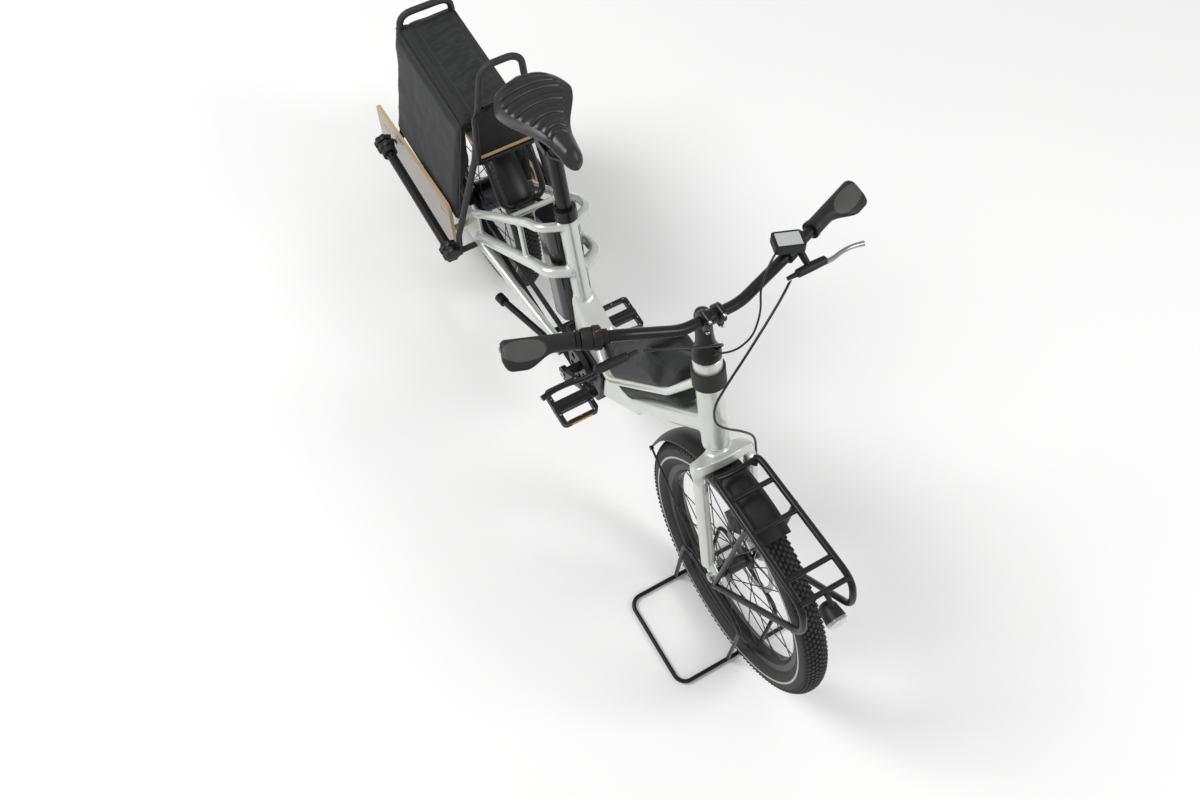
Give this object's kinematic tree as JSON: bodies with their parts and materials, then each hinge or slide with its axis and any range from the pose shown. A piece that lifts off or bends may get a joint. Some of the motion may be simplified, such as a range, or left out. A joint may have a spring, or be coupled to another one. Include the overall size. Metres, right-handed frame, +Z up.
{
  "type": "electric cargo bicycle, compact longtail",
  "caption": "Compact longtail electric cargo bicycle with front rack, rear deck with straddling bag, hoops, side boards and footrests, its front wheel in a floor stand.",
  "frame": {"origin": "on the floor, under the middle of the bicycle's length, in its middle plane", "axes": "+X forward, +Y to the rider's left, +Z up"},
  "size_m": [1.9098, 0.753, 1.0634],
  "materials": {
    "frame_paint": "satin",
    "black_metal": "satin",
    "drive_housing": "satin",
    "battery_case": "matt",
    "bag_fabric": "woven",
    "saddle_cover": "matt",
    "plywood": "film faced",
    "soft_rubber": "matt",
    "black_plastic": "matt",
    "bright_steel": "brushed",
    "belt_rubber": "ribbed",
    "hose": "smooth",
    "tyre_rubber": "matt",
    "bright_alloy": "satin"
  },
  "bodies": {
    "frame": {"frame": "frame_paint", "head_band": "black_metal", "drive_unit": "drive_housing", "battery": "battery_case", "frame_bag": "bag_fabric", "seat_post": "black_metal", "seat_collar": "black_metal", "saddle": "saddle_cover", "rear_rack": "black_metal", "rack_deck": "plywood", "front_hoop": "black_metal", "rear_hoop": "black_metal", "cargo_bag": "bag_fabric", "side_boards": "plywood", "footrest_tubes": "black_metal", "footrest_clamps": "soft_rubber", "rear_fender": "black_plastic", "rear_axle": "bright_steel", "rear_caliper": "black_metal", "drive_belt": "belt_rubber", "rear_light": "black_plastic"},
    "steering": {"fork": "frame_paint", "stem": "black_metal", "handlebar": "black_metal", "grips": "soft_rubber", "gear_shifter": "black_plastic", "brake_levers": "black_metal", "display": "black_plastic", "headlight": "black_plastic", "front_rack": "black_metal", "front_fender": "black_plastic", "front_axle": "bright_steel", "front_caliper": "black_metal", "front_brake_hose": "hose", "rear_brake_hose": "hose", "display_cable": "hose", "wheel_stand": "black_metal"},
    "front_wheel": {"front_tyre": "tyre_rubber", "front_rim": "black_metal", "front_hub": "bright_alloy", "front_disc": "bright_steel"},
    "rear_wheel": {"rear_tyre": "tyre_rubber", "rear_rim": "black_metal", "rear_hub": "bright_alloy", "rear_disc": "bright_steel", "rear_pulley": "bright_steel"},
    "crank": {"crank_set": "black_metal"},
    "pedal_right": {"pedal_right": "black_plastic"},
    "pedal_left": {"pedal_left": "black_plastic"},
    "centre_stand": {"centre_stand": "black_metal"}
  },
  "joints": [
    {"name": "steering", "type": "hinge", "parent": "frame", "child": "steering", "pos_m": [0.4469, 0, 0.75], "axis": [-0.3543, 0, 0.9351], "range_deg": [-55, 55]},
    {"name": "front_wheel_spin", "type": "hinge", "parent": "steering", "child": "front_wheel", "pos_m": [0.645, 0, 0.31], "axis": [0, 1, 0], "continuous": true},
    {"name": "rear_wheel_spin", "type": "hinge", "parent": "frame", "child": "rear_wheel", "pos_m": [-0.545, 0, 0.26], "axis": [0, 1, 0], "continuous": true},
    {"name": "crank_spin", "type": "hinge", "parent": "frame", "child": "crank", "pos_m": [0.033, 0, 0.284], "axis": [0, 1, 0], "continuous": true},
    {"name": "pedal_right_spin", "type": "hinge", "parent": "crank", "child": "pedal_right", "pos_m": [0.1593, 0, 0.3978], "axis": [0, 1, 0], "continuous": true},
    {"name": "pedal_left_spin", "type": "hinge", "parent": "crank", "child": "pedal_left", "pos_m": [-0.0933, 0, 0.1702], "axis": [0, 1, 0], "continuous": true},
    {"name": "centre_stand_fold", "type": "hinge", "parent": "frame", "child": "centre_stand", "pos_m": [-0.075, 0, 0.196], "axis": [0, -1, 0], "range_deg": [0, 88]}
  ]
}
